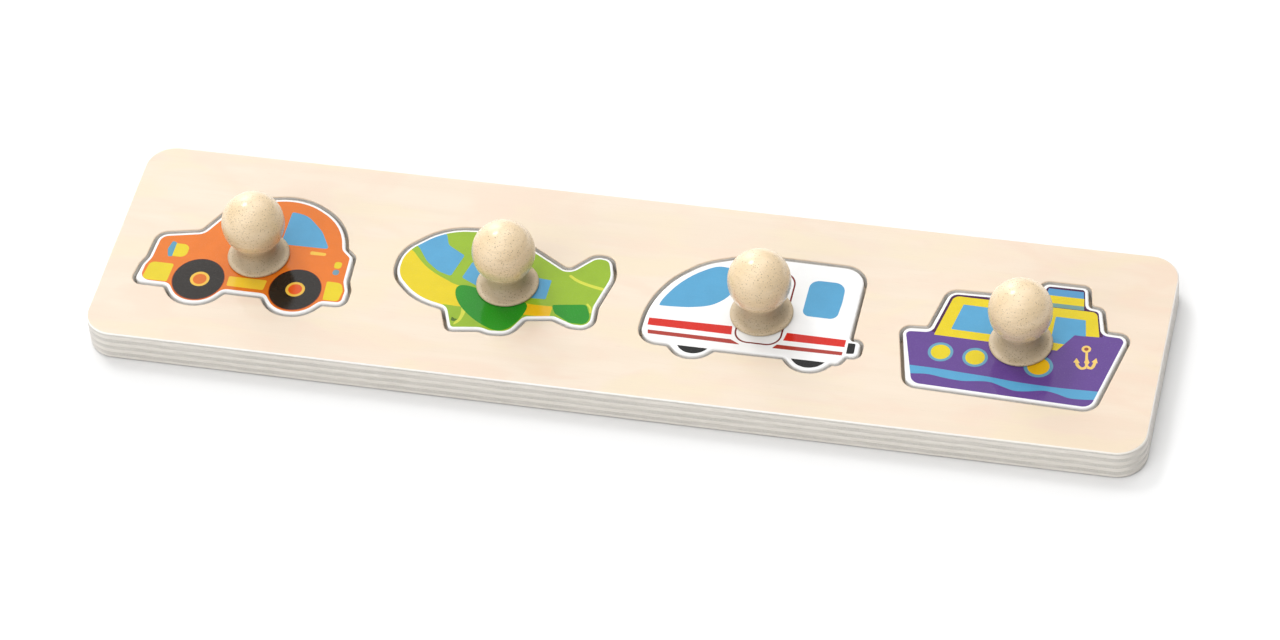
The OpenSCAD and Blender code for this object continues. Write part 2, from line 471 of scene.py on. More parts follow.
def ply_edge(name, longway, endway):
    """Sawn plywood edge: each layer shows its long grain or its end grain, by the way it faces."""
    p = Paint(name, 0.34)
    axes = p.node("ShaderNodeSeparateXYZ")
    p.links.new(p.place, axes.inputs[0])
    wander = p.noise((62, 62, 60), 4.0, 0.6)
    z = p.math("ADD", axes.outputs["Z"], p.span(wander, 0.3, 0.7, -0.00022, 0.00022, False))
    alongx = None
    for i, low in enumerate(PLIES):
        if i == 0:
            continue
        step = p.span(z, (low - 0.14) * MM, (low + 0.14) * MM)
        # turns the flag over at each boundary
        if alongx is None:
            alongx = p.math("SUBTRACT", 1.0, step)
        elif i % 2 == 0:
            alongx = p.math("ADD", alongx, step)
        else:
            alongx = p.math("SUBTRACT", alongx, step)
    face = p.node("ShaderNodeSeparateXYZ")
    p.links.new(p.coords.outputs["Normal"], face.inputs[0])
    nx = p.math("ABSOLUTE", face.outputs["X"])
    ny = p.math("ABSOLUTE", face.outputs["Y"])
    end_x = p.math("MULTIPLY", p.span(nx, 0.35, 0.95), alongx)
    end_y = p.math("MULTIPLY", p.span(ny, 0.35, 0.95), p.math("SUBTRACT", 1.0, alongx))
    end = p.math("ADD", end_x, end_y)
    streak = p.noise((260, 260, 4200), 4.0, 0.62, 0.3)
    pores = p.noise((2100, 2100, 3000), 3.0, 0.62)
    blotch = p.noise((60, 60, 500), 3.0, 0.5, 0.0, (4, 1, 2))
    a = p.mix(p.span(streak, 0.38, 0.66, 0.0, 0.9), longway, tint(shade(longway, 0.84), 1.0, 0.985, 0.96))
    b = p.mix(p.span(pores, 0.4, 0.7, 0.0, 0.85), endway, tint(shade(endway, 0.8), 1.0, 0.975, 0.94))
    b = p.mix(p.span(blotch, 0.4, 0.68, 0.0, 0.8), b, tint(shade(endway, 1.12), 1.0, 0.985, 0.975))
    c = p.mix(end, a, b)
    # painted shadow: the edge is darkened towards the floor, below 0.9 mm, as the contact shadow along the board's foot
    c = p.mix(p.span(axes.outputs["Z"], 0.15 * MM, 0.9 * MM, 1.0, 0.0), c, (0.6, 0.59, 0.6), "MULTIPLY")
    rough = p.span(end, 0.0, 1.0, 0.3, 0.45)
    n = p.bump(p.mix(end, streak, pores), 0.00006, 0.7)
    p.finish(c, rough, n)


def ink(name, base, mottle=1.0):
    """Glossy screen-printed ink, a little uneven in density, over sanded wood."""
    p = Paint(name, 0.1, 1.45)
    patch = p.noise((150, 150, 150), 3.0, 0.55)
    speck = p.noise((2300, 2300, 2300), 2.0, 0.55, 0.0, (5, 5, 5))
    grain = p.noise((60, 1500, 1500), 3.0, 0.6, 0.2, (2, 1, 0))
    c = p.mix(p.span(patch, 0.3, 0.7), shade(base, 1.0 + 0.025 * mottle), shade(base, 1.0 - 0.03 * mottle))
    c = p.mix(p.span(speck, 0.5, 0.8, 0.0, 0.45 * mottle), c, tuple(x + (0.82 - x) * 0.09 for x in base))
    c = p.mix(p.span(grain, 0.45, 0.8, 0.0, 0.3 * mottle), c, shade(base, 0.93))
    rough = p.span(patch, 0.3, 0.7, 0.085, 0.125)
    wave = p.noise((70, 95, 95), 2.0, 0.4)
    n = p.bump(grain, 0.00002, 0.5)
    n = p.bump(wave, 0.00003, 0.6, n)
    p.finish(c, rough, n)


def beech(name, base, coat):
    """Turned beech: faint rings round the knob, fine fibres, scattered pores and flecks, sanded."""
    p = Paint(name, 0.27, 1.5)
    p.bsdf.inputs["Coat Weight"].default_value = coat
    p.bsdf.inputs["Coat Roughness"].default_value = 0.13
    p.bsdf.inputs["Coat IOR"].default_value = 1.5
    rings = p.noise((90, 90, 900), 3.0, 0.55, 0.6)
    fibre = p.noise((120, 1900, 1900), 4.0, 0.6, 0.3)
    crowd = p.span(p.noise((110, 110, 110), 2.0, 0.5, 0.0, (6, 1, 2)), 0.38, 0.62, 0.25, 1.0)
    pores = p.math("MULTIPLY", p.span(p.cells((1250, 1250, 1600), (7, 2, 5)), 0.14, 0.3, 1.0, 0.0), crowd)
    dots = p.span(p.cells((900, 900, 1150), (1, 4, 8)), 0.12, 0.22, 1.0, 0.0)
    glow = p.span(p.cells((950, 950, 1200), (3, 8, 1)), 0.12, 0.27, 1.0, 0.0)
    c = p.mix(p.span(rings, 0.35, 0.7), shade(base, 1.03), tint(shade(base, 0.955), 1.0, 0.985, 0.95))
    c = p.mix(p.span(fibre, 0.42, 0.75, 0.0, 0.45), c, tint(shade(base, 0.9), 1.0, 0.97, 0.91))
    c = p.mix(p.math("MULTIPLY", glow, 0.75), c, tint(base, 1.12, 1.06, 0.95))
    c = p.mix(p.math("MULTIPLY", pores, 0.9), c, tint(shade(base, 0.55), 1.0, 0.92, 0.82))
    c = p.mix(p.math("MULTIPLY", dots, 0.85), c, tint(shade(base, 0.4), 1.0, 0.92, 0.84))
    axes = p.node("ShaderNodeSeparateXYZ")
    p.links.new(p.place, axes.inputs[0])
    z = axes.outputs["Z"]
    # painted shade: the ball's lower half is darkened below its crown, and the neck and foot, under the ball, are
    # darkened more as the ball's shadow, up to the foot's rim
    c = p.mix(p.span(z, (TOP + 17.0) * MM, (TOP + 27.5) * MM, 1.0, 0.0), c, (0.83, 0.825, 0.815), "MULTIPLY")
    low = p.span(z, (TOP + 6.0) * MM, (TOP + 9.5) * MM, 1.0, 0.0)
    # painted light: the darkening eases off on the foot's rim, so the rim reads lighter
    low = p.math("MULTIPLY", low, p.span(z, (TOP + 1.1) * MM, (TOP + 1.8) * MM, 0.6, 1.0))
    c = p.mix(low, c, (0.7, 0.7, 0.7), "MULTIPLY")
    rough = p.math("MULTIPLY_ADD", low, 0.2, p.span(fibre, 0.35, 0.7, 0.24, 0.32))
    n = p.bump(fibre, 0.00002, 0.5)
    n = p.bump(p.math("SUBTRACT", 1.0, dots), 0.00005, 0.6, n)
    p.finish(c, rough, n)


def steel(name):
    """Zinc-plated screw steel, brushed by the thread roller."""
    p = Paint(name, 0.3)
    p.bsdf.inputs["Metallic"].default_value = 1.0
    fine = p.noise((900, 900, 5200), 3.0, 0.6)
    spots = p.noise((700, 700, 700), 3.0, 0.6, 0.0, (3, 1, 4))
    c = p.mix(p.span(fine, 0.3, 0.7), (0.74, 0.745, 0.75), (0.6, 0.6, 0.595))
    c = p.mix(p.span(spots, 0.55, 0.75, 0.0, 0.6), c, (0.55, 0.55, 0.5))
    p.finish(c, p.span(spots, 0.35, 0.7, 0.24, 0.42), p.bump(fine, 0.00002, 0.6))


veneer("varnished_veneer", seen(252, 236, 217), True)
# painted highlight: a near-white varnished veneer for the middle of the board's top arris, standing in for the bright
# line of light along the edge
veneer("arris_painted_highlight", (0.92, 0.905, 0.88), True, 0.5)
veneer("varnished_lip", seen(246, 226, 203), True, 0.6)
veneer("bare_veneer", seen(243, 226, 203), False, 1.8)
ply_edge("ply_edge", seen(243, 238, 230, 1.08, 0.036), seen(217, 213, 206, 1.08, 0.036))
# painted light: a paler copy of the ply edge for the cutout walls and the vehicles' sides, so the narrow gaps read
# lighter than their shade
ply_edge("cut_wall_lightened", (0.9, 0.88, 0.85), (0.79, 0.77, 0.74))
ink("ink_white", (0.84, 0.84, 0.835), 0.5)
ink("ink_orange", seen(239, 134, 67))
ink("ink_yellow", seen(239, 216, 64))
ink("ink_sill", seen(254, 213, 80))
ink("ink_blue", seen(105, 175, 217))
ink("ink_tyre", seen(69, 66, 63))
ink("ink_hub_light", seen(250, 204, 92))
ink("ink_hub_red", seen(231, 127, 66))
ink("ink_green", seen(162, 195, 73))
ink("ink_dark_green", seen(69, 157, 67))
ink("ink_olive", seen(95, 125, 58))
ink("ink_lime", seen(222, 226, 92))
ink("ink_amber", seen(250, 200, 60))
ink("ink_red", seen(225, 70, 57))
ink("ink_brick", seen(186, 84, 77))
ink("ink_wine", seen(138, 50, 54))
ink("ink_black", (0.004, 0.004, 0.004))
ink("ink_purple", seen(116, 90, 157))
ink("ink_plum", seen(92, 62, 92))
ink("ink_rust", seen(160, 100, 80))
ink("ink_lamp_blue", seen(104, 166, 194))
ink("ink_lamp_grey", seen(126, 163, 180))
ink("ink_hub_deep", seen(243, 106, 34))
ink("ink_umber", seen(176, 88, 50))
ink("ink_teal", seen(128, 167, 163))
ink("ink_pale_blue", seen(118, 172, 198))
ink("ink_funnel_blue", seen(104, 164, 210))
ink("ink_anchor", seen(250, 212, 124))
beech("beech", (0.855, 0.675, 0.445), 0.5)
beech("beech_foot", (0.84, 0.675, 0.455), 0.0)
steel("zinc_steel")


# ---------------------------------------------------------------- the pictures
# Each picture is (ink, loop) from the bottom layer up. x is the board's own,
# and picture() shifts it to the knob.
def car_art():
    art = [
        ("ink_yellow", rounded((-179.7, -19.6, 1.9), (-178.6, -10.6, 2.2), (-169.6, -10.6, 0.8), (-169.9, -19.6, 0.8))),
        ("ink_yellow", rounded((-111.1, -10.5, 0.6), (-105.4, -10.7, 2.5), (-104.1, -14.5, 3), (-104.6, -19.7, 1.4), (-110.4, -19.7, 0.5))),
        ("ink_sill", rounded((-147.6, -13.5, 0.6), (-133.1, -13.5, 0.6), (-133.4, -18.4, 0.6), (-147.4, -18.3, 0.6))),
        ("ink_lamp_blue", rounded((-173.2, 0.9, 0.8), (-174.1, -3.5, 3), (-173, -7.4, 0.8), (-171.4, -6.9, 0.2), (-171.4, -0.1, 0.2))),
        ("ink_yellow", rounded((-171.5, -6.8, 0.3), (-171.5, -0.3, 0.3), (-166.2, -0.3, 3.1), (-166.2, -6.8, 3.1))),
        ("ink_hub_light", rounded((-121, 3.4), (-115, 3.2), (-114.9, 1.8), (-120.9, 1.6), r=0.65)),
        ("ink_yellow", rounded((-110.6, -0.4, 1), (-107.8, -0.5, 1), (-107.8, -3.6, 1), (-110.4, -3.7, 1))),
        ("ink_lamp_grey", rounded((-110.3, -4.3, 1.1), (-107.8, -4.4, 1.1), (-107.9, -7.1, 1.2), (-110.2, -7.0, 1.2))),
        ("ink_blue", rounded((-133, 5.2, 0.8), (-133, 21.8, 0.8), (-126.8, 20.9, 10), (-119.3, 13.7, 12), (-114.6, 5.4, 0.8))),
        ("ink_blue", rounded((-151.5, 5.6, 0.8), (-147.5, 17.5, 6), (-142, 21.4, 5), (-136.6, 21.8, 0.8), (-136.6, 5.6, 0.8))),
    ]
    for x, y, tall in ((-158.6, -16.7, 10.2), (-121.7, -16.35, 10.15)):
        art += [
            ("ink_umber", [complex(q.real, y + (q.imag - y) * tall / 9.7 - 0.1) for q in circle(x, y, 9.82, 96)]),
            ("ink_tyre", [complex(q.real, y + (q.imag - y) * tall / 9.7) for q in circle(x, y, 9.57, 96)]),
            ("ink_hub_light", circle(x + (0.55 if x < -140 else 0), y + 0.15, 3.6)),
            ("ink_hub_red" if x < -140 else "ink_hub_deep", circle(x + (0.55 if x < -140 else 0), y + 0.15, 2.55)),
        ]
    return "ink_orange", art


def plane_art():
    belly = spline(
        (-90, 13.6), (-86, 11.2), (-83.1, 9), (-80.2, 5.8), (-76.6, 2.3), (-72, -0.8), (-67, -3.3),
        (-63.5, -4.8), (-50, -8), (-36, -10), (-26.2, -10), closed=False,
    )  # fmt: skip
    nose = belly + [complex(-26.2, -15.4), complex(-36, -15.6), complex(-60.5, -15.2), complex(-66, -15.0), complex(-75, -24), complex(-95, -10)]
    wing = spline(
        (-63.2, -6.5), (-61.5, -4.7), (-57, -5), (-50, -7.5), (-40, -9.2), (-36.2, -10), (-35.4, -13),
        (-37, -18.5), (-39.6, -22.8), (-43.5, -24.7), (-48.5, -23.3), (-54.5, -19.6), (-59.5, -15), (-62.4, -10.5),
    )  # fmt: skip
    moon = spline(
        (-58.9, -15.2), (-57.2, -16), (-57.1, -17.8), (-57.5, -20.6), (-58.3, -22.7), (-59.8, -24.2), (-59.9, -23.2),
        (-58.9, -21.2), (-58.6, -18.8), (-58.8, -16.8),
    )  # fmt: skip
    art = [
        ("ink_yellow", nose),
        ("ink_amber", rounded((-37, -10.3, 0.1), (-26.3, -10.2, 0.3), (-26.6, -15.6, 0.3), (-37, -15.6, 0.1))),
        ("ink_blue", rounded((-81.3, 11, 0.6), (-87.7, 16.8, 0), (-80, 26, 0), (-72.9, 18.9, 0.5), (-71.2, 14.2, 3.5), (-64.1, 9.9, 0.8), (-66.7, -0.9, 0.8), (-71.9, 0.8, 8), (-77.3, 5.2, 8))),
        ("ink_blue", rounded((-60.4, 7.2, 0.8), (-62.4, -1, 0.8), (-54.5, -5, 0.8), (-53, 6.5, 0.8))),
        ("ink_blue", rounded((-38, 3.2, 0.6), (-29.5, 2.6, 0.5), (-29.6, -6.9, 0.5), (-38, -7.2, 0.6))),
        ("ink_lime", moon),
        ("ink_olive", rounded((-61.4, -20.5), (-60.2, -21.3), (-58.9, -21.3), (-60, -22.6), (-61.4, -22.4), r=0.2)),
        ("ink_dark_green", wing),
        ("ink_lime", stroke(spline((-23.1, 5.8), (-20.8, 4.2), (-18.5, 3.2), (-14.9, 2.1), (-10.3, 1.1), closed=False), 1.1, 1.3)),
        ("ink_lime", stroke(spline((-13.9, -7.1), (-12.5, -8.7), (-11.9, -10.8), closed=False), 0.8)),
        ("ink_dark_green", rounded((-26.8, -9.3, 0.8), (-14.2, -7.2, 2), (-11.4, -13.5, 5), (-12.6, -17, 2.5), (-18.5, -17, 4), (-24.8, -13.2, 3))),
    ]  # fmt: skip
    return "ink_green", art


def train_art():
    door = rounded((41.9, -16.4, 5), (41.9, 19.5, 5.5), (58.6, 19.5, 6), (58.6, -16.4, 5))
    d_out, d_in = ring_stroke(door, 0.65)
    front = spline(
        (12, -2.8), (13, 0.8), (16.5, 7.5), (21, 13), (26, 17), (29.5, 18.7), (33, 18.7), (35, 18.2), (37.6, 15),
        (38, 10), (36.5, 5.8), (34, 2.2), (30, -0.8), (24, -2.5), (18, -3.2), (12.8, -3.4), n=5,
    )  # fmt: skip

    def wheel(x, y, r, top):
        a = math.asin((y - top) / r)
        return [complex(x, y) + cmath.rect(r, -math.pi + (math.pi / 2 - a) + 0 + t) for t in
                np.linspace(-(math.pi / 2 - a) + a, math.pi - a - (math.pi / 2 - a), 25)]  # fmt: skip

    art = [
        ("ink_blue", front),
        ("ink_blue", rounded((63.9, -0.5, 2.8), (64, 17.3, 3.6), (77, 17.3, 4.2), (77.3, 8, 20), (76.7, -0.6, 3))),
        ("ink_red", rounded((9.7, -9.9), (40.3, -9.45), (40.8, -13.55), (9.8, -13.4), r=0.15)),
        ("ink_red", rounded((60.4, -9.6), (82.1, -9.85), (82.1, -13.3), (59.7, -13.5), r=0.15)),
        ("ink_brick", rounded((10.4, -15.7), (41, -15.8), (44.9, -17.85), (10.8, -17.55), r=0.15)),
        ("ink_brick", rounded((57.9, -15.75), (81.9, -15.7), (81.9, -17.4), (56.5, -17.75), r=0.15)),
        ("ink_wine", d_out),
        ("ink_white", d_in),
        ("ink_black", wheel(28.1, -18.2, 6.5, -21.5)),
        ("ink_black", wheel(70.35, -17.95, 7.15, -21.6)),
        ("ink_black", rounded((83.1, -11.1, 0.3), (85.8, -11.1, 0.6), (86, -16, 0.6), (83.2, -16.3, 0.3))),
    ]
    return "ink_white", art


def ship_art():
    wave = spline(
        (104, -17.8), (107.1, -18), (116.4, -18.2), (125.7, -18.8), (134.9, -19.3), (144.3, -20.2), (153.4, -20.6),
        (162.6, -20.7), (176, -20.3), closed=False,
    ) + spline(
        (176, -24.2), (173.7, -24.4), (169.9, -24.9), (165, -25), (159.9, -23.5), (155.6, -22.9), (149.8, -24.1),
        (145.5, -24.5), (141.7, -23.5), (136.5, -21.8), (132.3, -21.9), (126.4, -22.7), (120.2, -22.3), (113.9, -21.4),
        (108.2, -21.9), (104, -22.4), closed=False,
    )  # fmt: skip
    arms = spline(
        (164.9, -7), (165.4, -8.9), (166.9, -10.3), (168.2, -9.9), (168.8, -9.1), (169.5, -9.6), (170.6, -9.6),
        (171.2, -8.2), (171.4, -6.1), closed=False,
    )  # fmt: skip
    art = [
        ("ink_plum", rounded((111.6, -1.0), (112.4, 30), (170.5, 30), (172.2, 5.6), (160, 5.0), (150, -4), r=0.1)),
        ("ink_yellow", rounded((112.6, -2.3, 0.3), (116.6, 17.5, 2.6), (168.5, 17.2, 2.4), (171.1, 5.4, 0.3), (162.2, 5.1, 0.6), (157.2, -3.2, 0.3))),
        ("ink_blue", rounded((118.2, 1.3), (120.6, 13.8), (134.5, 13.5), (134.5, 0.9), r=0.4)),
        ("ink_blue", rounded((138.5, 0.8), (138.5, 13.4), (150, 13.2), (150, 0.6), r=0.4)),
        ("ink_blue", rounded((154.2, 13), (165, 12.9), (166.3, 5.1), (162.25, 5.1), (159.2, 0.15), (154.2, 0.5), r=0.35)),
        ("ink_teal", rounded((147.4, 17.5), (148, 19.4), (163.4, 19.4), (163.7, 17.45), r=0.1)),
        ("ink_yellow", rounded((148, 19.4), (148.8, 23.1), (162.9, 23.1), (163.4, 19.4), r=0.1)),
        ("ink_funnel_blue", rounded((148.9, 23.1), (149.6, 26.4), (162.2, 26.4), (162.8, 23.1), r=0.1)),
        ("ink_blue", wave),
    ]
    for x, y, r1, r2 in ((116.4, -10.2, 4.55, 3.5), (129, -10.9, 4.55, 3.5), (151.9, -11.7, 5.25, 4.0)):
        art += [("ink_pale_blue", circle(x, y, r1)), ("ink_amber" if x > 150 else "ink_yellow", circle(x, y, r2))]
    art += [
        ("ink_anchor", circle(167.4, -0.9, 1.7, 32)),
        ("ink_rust", circle(167.4, -0.9, 0.8, 24)),
        ("ink_anchor", rounded((167.3, -2.3), (168.2, -2.3), (169.3, -9.3), (168.2, -9.4), r=0.1)),
        ("ink_anchor", rounded((167.5, -7.2), (168.4, -4.9), (169.5, -7.1), (168.8, -8.9), r=0.25)),
        ("ink_anchor", stroke(arms, 1.15)),
        ("ink_anchor", rounded((163.8, -7.9), (164.6, -5.6), (166.2, -7.9), r=0.12)),
        ("ink_anchor", rounded((170.1, -6.8), (171.6, -4.6), (172.4, -7), r=0.12)),
    ]
    return "ink_purple", art


# Region of each print, as an inset from the outline, or its own rounded loop
SHIP_PRINT = [
    (-35.3, -26.3, 4), (-41.7, -2.0, 1.6), (-32.3, -1.3, 3.4), (-28.2, 18.3, 3), (2.9, 19.2, 4), (5.1, 27.3, 1.6),
    (18.5, 27.4, 1.4), (20.1, 18.0, 3.4), (24.9, 17.6, 1.8), (27.5, 6.4, 3.4), (36.4, 6.1, 2.2), (28.9, -28.3, 3.8),
]  # fmt: skip
MARGIN = {"car": 1.2, "plane": 1.05, "train": 1.1}  # white left round the other prints
ART = {"car": car_art, "plane": plane_art, "train": train_art, "ship": ship_art}
PAD = 6.0  # round patch of bare print under each knob


def picture(name, x0, region):
    """Triangles of a print, each with its ink, and the points and edges on its rim."""
    base, art = ART[name]()
    layers = [(m, [q - x0 for q in loop]) for m, loop in art]
    pad = circle(0, KNOB_Y, PAD, 48)
    pts, tris, mid = triangulate([region, pad] + [loop for _, loop in layers])
    keep = inside(mid, region) & ~inside(mid, pad)
    inks = np.array([base] * len(tris), object)
    for m, loop in layers:
        inks[inside(mid, loop)] = m
    kept = [t for t, k in zip(tris, keep) if k]
    count = {}
    for t in kept:
        for a, b in zip(t, t[1:] + t[:1]):
            key = (min(a, b), max(a, b))
            count[key] = count.get(key, 0) + 1
    rim = [(pts[a], pts[b]) for (a, b), n in count.items() if n == 1]
    return pts, kept, [m for m, k in zip(inks, keep) if k], rim, pad, base


# ---------------------------------------------------------------- the board
def arc(r, n, a0=0.0, a1=90.0):
    return [(math.cos(math.radians(a0 + (a1 - a0) * i / n)) * r, math.sin(math.radians(a0 + (a1 - a0) * i / n)) * r) for i in range(n + 1)]


def groove(z, w=0.05, deep=0.03):
    return [(0.0, z - w), (-deep, z), (0.0, z + w)]


def side(low, high, broken):
    """(offset, z) points up a sawn side between two heights, with its glue lines."""
    out = [(-broken, low), (0.0, low + broken)]
    for z in PLIES:
        if low + 0.3 < z < high - 0.12:
            out += groove(z)
    return out


def frame_board():
    s = Shell("frame_board_body")
    prof = side(SHEET, TOP - ARRIS, 0.04)
    prof += [(0.0, TOP - ARRIS - 0.1)] + [(-ARRIS + c, TOP - ARRIS + h) for c, h in arc(ARRIS, 8)]
    rings = [s.ring(board_outline(-e), z) for e, z in prof]
    s.walls(rings[:-6], "ply_edge")
    # the arris's middle segments carry the painted highlight
    s.walls(rings[-7:-2], "arris_painted_highlight")
    s.walls(rings[-3:], "varnished_veneer")
    top_loops, low_loops = [board_outline(ARRIS)], [board_outline(0.04)]
    for k, v in enumerate(VEHICLES.values()):
        x0 = KNOB_X[k]
        prof = side(SHEET, TOP - LIP, 0.04)
        prof = [(GAP - e, z) for e, z in prof] + [(GAP, TOP - LIP - 0.08)]
        prof += [(GAP + LIP - c, TOP - LIP + h) for c, h in arc(LIP, 7)]
        loops = [[q + x0 for q in outline(v, e)] for e, _ in prof]
        rings = [s.ring(p, z) for p, (_, z) in zip(loops, prof)]
        # the cutout walls take the lightened ply edge, painted light in the gaps
        s.walls(rings[:-7], "cut_wall_lightened")
        s.walls(rings[-8:], "varnished_lip")
        top_loops.append(loops[-1])
        low_loops.append(loops[0])
    for loops, z, m in ((top_loops, TOP, "varnished_veneer"), (low_loops, SHEET, "bare_veneer")):
        pts, tris, mid = triangulate(loops)
        keep = inside(mid, loops[0])
        for hole in loops[1:]:
            keep &= ~inside(mid, hole)
        s.flat(pts, tris, z, m, keep)
    return s.build("board", "board_plywood", "frame_board")


def backing_board():
    s = Shell("backing_board_body")
    prof = [(-ARRIS + c, ARRIS - h) for c, h in arc(ARRIS, 8)][::-1] + [(0.0, ARRIS + 0.1)]
    for z in PLIES:
        if 1.0 < z < SHEET - 0.2:
            prof += groove(z)
    prof += [(0.0, SHEET - 0.04), (-0.04, SHEET)]
    rings = [s.ring(board_outline(-e), z) for e, z in prof]
    s.walls(rings, "ply_edge")
    for loop, z in ((board_outline(0.04), SHEET), (board_outline(ARRIS), 0.0)):
        pts, tris, mid = triangulate([loop])
        s.flat(pts, tris, z, "bare_veneer", inside(mid, loop))
    return s.build("board", "board_plywood", "backing_board")


# ---------------------------------------------------------------- the vehicles
def vehicle(name, k):
    v = VEHICLES[name]
    s = Shell(f"{name}_print_block")
    prof = side(SHEET, TOP - WHITE, 0.15) + [(0.0, TOP - WHITE)]
    body = [s.ring(outline(v, e), z) for e, z in prof]
    # the vehicle's sides take the lightened ply edge, painted light in the gaps
    s.walls(body, "cut_wall_lightened")
    prof = [(0.0, TOP - EASE - 0.04)] + [(-EASE + c, TOP - EASE + h) for c, h in arc(EASE, 7)]
    edge = [body[-1]] + [s.ring(outline(v, e), z) for e, z in prof]
    s.walls(edge, "ink_white")
    # top: the print, the white margin round it and the patch under the knob
    rim_loop = outline(v, -EASE)
    if name == "ship":
        region = rounded(*SHIP_PRINT)
    else:
        near = [(-42.1, -21.2, 5)] + v[1:] if name == "car" else v
        region = outline(near, -MARGIN[name])
    bore = circle(0, KNOB_Y, 1.9, 48)
    pts, tris, inks, rim, pad, base = picture(name, KNOB_X[k], region)
    s.flat(pts, tris, TOP, inks)
    pts, tris, mid = triangulate([rim_loop, bore], rim)
    in_region, in_pad = inside(mid, region), inside(mid, pad)
    keep = inside(mid, rim_loop) & ~inside(mid, bore) & (~in_region | in_pad)
    s.flat(pts, tris, TOP, ["bare_veneer" if q else "ink_white" for q in in_pad], keep)
    # underside and the bored, countersunk hole
    hole = [(3.55, SHEET), (3.55, SHEET + 0.2), (1.9, SHEET + 1.85), (1.9, TOP)]
    rings = [s.ring(circle(0, KNOB_Y, r, 48), z) for r, z in hole]
    s.walls(rings[:2], "bare_veneer")
    s.walls(rings[1:], "bare_veneer")
    low, sink = outline(v, -0.15), circle(0, KNOB_Y, 3.55, 48)
    pts, tris, mid = triangulate([low, sink])
    s.flat(pts, tris, SHEET, "bare_veneer", inside(mid, low) & ~inside(mid, sink))
    return s.build(name, f"{name}_print", f"{name}_piece", shift=KNOB_X[k])


# ---------------------------------------------------------------- the knobs
def knob(name, k):
    s = Shell(f"{name}_turned_knob")
    cove, ze = 4.6, TOP + 1.2 + 4.6
    foot = [(0.0, TOP + 11.5), (1.35, TOP + 11.5), (1.35, TOP + 0.3), (1.65, TOP)]
    foot += [(4, TOP), (8, TOP), (10.3, TOP)]
    foot += [(10.9 + 0.6 * math.sin(a), TOP + 0.6 - 0.6 * math.cos(a)) for a in np.linspace(0.2, 2.75, 14)]
    # the hollow, from the rim up to the neck
    a0 = math.asin(0.75 / cove)
    foot += [(7 + cove - cove * math.sin(a), ze - cove * math.cos(a)) for a in np.linspace(a0, math.pi / 2, 22)]
    join = math.asin(7 / BALL_R)
    low = BALL_Z - BALL_R * math.cos(join)
    foot += [(7.0, ze + 0.3), (7.0, low - 0.52), (6.99, low - 0.4)]
    # turned by eye, the ball is a hair slimmer than it is tall
    ball = []
    for a in np.linspace(join + 0.008, math.pi, 62):
        slim = 1 - 0.017 * math.sin(a) ** 4
        ball.append((BALL_R * slim * math.sin(a), BALL_Z - BALL_R * math.cos(a) * (1.03 if a < math.pi / 2 else 1.0)))
    ball[-1] = (0.0, BALL_Z + BALL_R)
    lathe(s, foot, "beech_foot", 112)
    lathe(s, foot[-1:] + ball, "beech", 112)
    return s.build(name, "knob_beech", f"{name}_knob", shift=KNOB_X[k])


# ---------------------------------------------------------------- the screws
def screw(name, k):
    s = Shell(f"{name}_wood_screw")
    z0 = SHEET + 0.2
    head_r, shank_r, core_r, out_r, pitch, length = 3.4, 1.5, 1.2, 1.75, 1.4, 16.0
    n = 40
    head = [(head_r - 0.12, 0.0), (head_r, 0.1), (head_r, 0.16), (shank_r + 0.03, 1.9), (shank_r, 2.0), (shank_r, 5.6)]
    rings = [s.ring(circle(0, KNOB_Y, r, n), z0 + z) for r, z in head]
    # thread: the radius follows a helix and fades in and out at its two ends
    z = 5.7
    while z < length - 0.35:
        tip = max(0.0, (z - (length - 2.6)) / 2.6)
        core = core_r * (1 - tip) ** 0.75 + 0.12 * tip
        fade = min(1.0, max(0.0, (z - 5.9) / 0.9)) * min(1.0, max(0.0, (length - 0.7 - z) / 1.1))
        pts = []
        for i in range(n):
            a = math.tau * i / n
            u = ((z - 6.0) / pitch - a / math.tau) % 1.0
            crest = max(0.0, 1 - abs(u - 0.5) / 0.24)
            r = core + (out_r - core_r) * (1 - 0.55 * tip) * fade * crest**0.8
            pts.append(complex(0, KNOB_Y) + cmath.rect(r, -a))
        rings.append(s.ring(pts, z0 + z))
        z += 0.085
    s.walls(rings, "zinc_steel")
    tip_point = len(s.co)
    s.co.append((0.0, KNOB_Y, z0 + length))
    last = rings[-1]
    for i in range(n):
        s.face((last[i], last[(i + 1) % n], tip_point), "zinc_steel", True)

    # cross recess, its walls drawn in towards the bottom
    def cross(arm, half, turn=0.0):
        out = []
        for q in range(4):
            d = cmath.exp(-0.5j * math.pi * q)
            out += [complex(0, KNOB_Y) + d * c for c in (
                complex(-half, half + 0.12), complex(-half + 0.04, arm - 0.25), complex(-half * 0.55, arm),
                complex(half * 0.55, arm), complex(half - 0.04, arm - 0.25), complex(half, half + 0.12),
                complex(half + 0.12, half))]  # fmt: skip
        return out

    loops = [(1.95, 0.48, 0.0), (1.8, 0.43, 0.1), (1.35, 0.34, 0.9), (0.85, 0.26, 1.5)]
    crosses = [cross(a, h) for a, h, _ in loops]
    cr = [s.ring(c, z0 + z) for c, (_, _, z) in zip(crosses, loops)]
    s.walls(cr, "zinc_steel", False)
    pts, tris, mid = triangulate([crosses[-1]])
    s.flat(pts, tris, z0 + loops[-1][2], "zinc_steel", inside(mid, crosses[-1]))
    rim = circle(0, KNOB_Y, head[0][0], n)
    pts, tris, mid = triangulate([rim, crosses[0]])
    s.flat(pts, tris, z0, "zinc_steel", inside(mid, rim) & ~inside(mid, crosses[0]))
    return s.build(name, "screw_steel", f"{name}_screw", shift=KNOB_X[k])


frame_board()
backing_board()
for number, label in enumerate(VEHICLES):
    vehicle(label, number)
    knob(label, number)
    screw(label, number)


